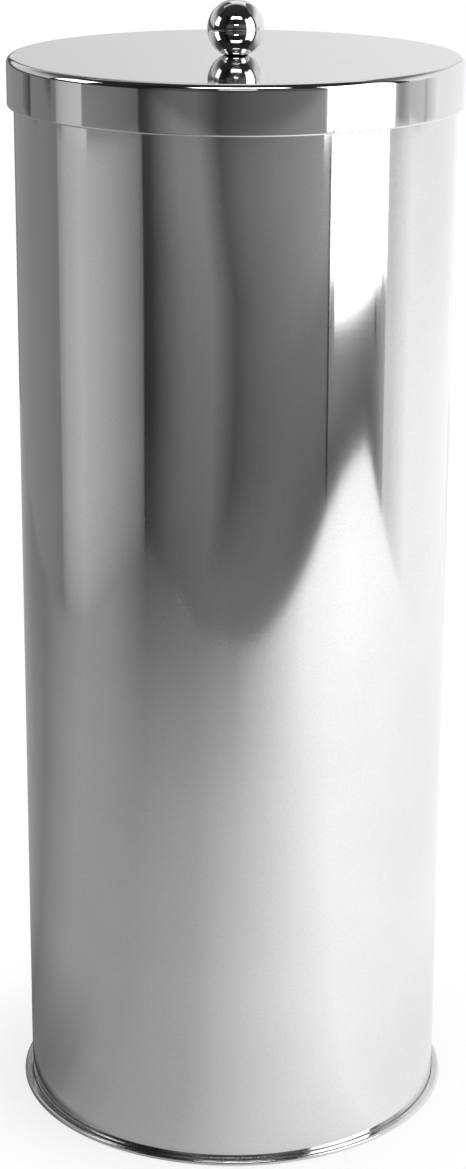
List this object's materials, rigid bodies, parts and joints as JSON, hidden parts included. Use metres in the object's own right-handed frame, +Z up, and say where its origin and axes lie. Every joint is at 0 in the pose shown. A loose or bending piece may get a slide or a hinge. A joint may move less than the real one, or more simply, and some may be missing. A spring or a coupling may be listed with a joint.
{
  "type": "toilet roll storage holder",
  "caption": "Tall round steel canister that stands on the floor and stores spare toilet rolls in a stack, with a flat lift-off lid and a ball knob.",
  "frame": {"origin": "on the floor, under the middle of the foot", "axes": "+Z up along the canister's axis, -Y towards the viewer in the picture, the wall's upright seam at +Y"},
  "size_m": [0.1454, 0.1454, 0.3692],
  "materials": {
    "wall_steel": "bright sheet with a very fine grain round the tube",
    "base_steel": "bright sheet",
    "lid_steel": "mirror polished",
    "knob_chrome": "mirror plated",
    "fastener_zinc": "bright zinc plated"
  },
  "bodies": {
    "canister": {"canister_wall": "wall_steel", "base_pan": "base_steel"},
    "lid": {"lid_cap": "lid_steel", "knob_ball": "knob_chrome", "knob_screw": "fastener_zinc", "spring_washer": "fastener_zinc", "flat_washer": "fastener_zinc"}
  },
  "joints": [
    {"name": "lid_lift", "type": "slide", "parent": "canister", "child": "lid", "axis": [0, 0, 1], "range_m": [0, 0.15]}
  ]
}
